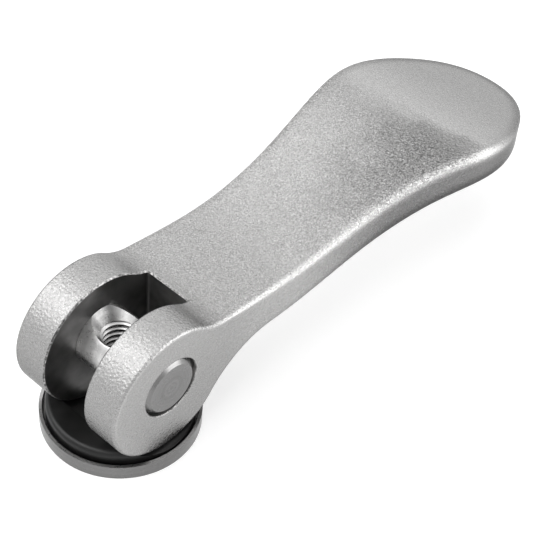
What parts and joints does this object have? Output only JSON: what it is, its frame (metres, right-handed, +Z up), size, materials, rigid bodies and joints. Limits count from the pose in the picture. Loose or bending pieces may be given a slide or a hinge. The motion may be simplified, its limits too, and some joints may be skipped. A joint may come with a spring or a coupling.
{
  "type": "cam lever",
  "caption": "Quick-clamping lever: a paddle handle with a forked eccentric head turns on a cross pin with an internal thread and presses on a saddle washer seated in a steel dish.",
  "frame": {"origin": "centre of the stud's hole at the clamp face, the flat underside of the steel dish washer", "axes": "+Z up along the thread's axis from the clamped surface to the cam, +X along the closed handle from the head to its tip, Y along the pivot pin"},
  "size_m": [0.0966, 0.0292, 0.0235],
  "materials": {
    "cast_steel": "matte shot blasted casting",
    "turned_steel": "turned",
    "black_plastic": "satin",
    "dish_steel": "turned"
  },
  "bodies": {
    "pin": {"pivot_pin": "turned_steel"},
    "lever": {"lever": "cast_steel"},
    "washers": {"thrust_washer": "black_plastic", "dish_washer": "dish_steel"}
  },
  "joints": [
    {"name": "lever_turn", "type": "hinge", "parent": "pin", "child": "lever", "pos_m": [0, 0, 0.01415], "axis": [0, -1, 0], "range_deg": [0, 180]},
    {"name": "washer_slide", "type": "slide", "parent": "pin", "child": "washers", "axis": [0, 0, 1], "range_m": [0, 0.001]}
  ],
  "couplings": [
    {"joint": "washer_slide", "follows": "lever_turn", "m_per_rad": 0.0003}
  ]
}
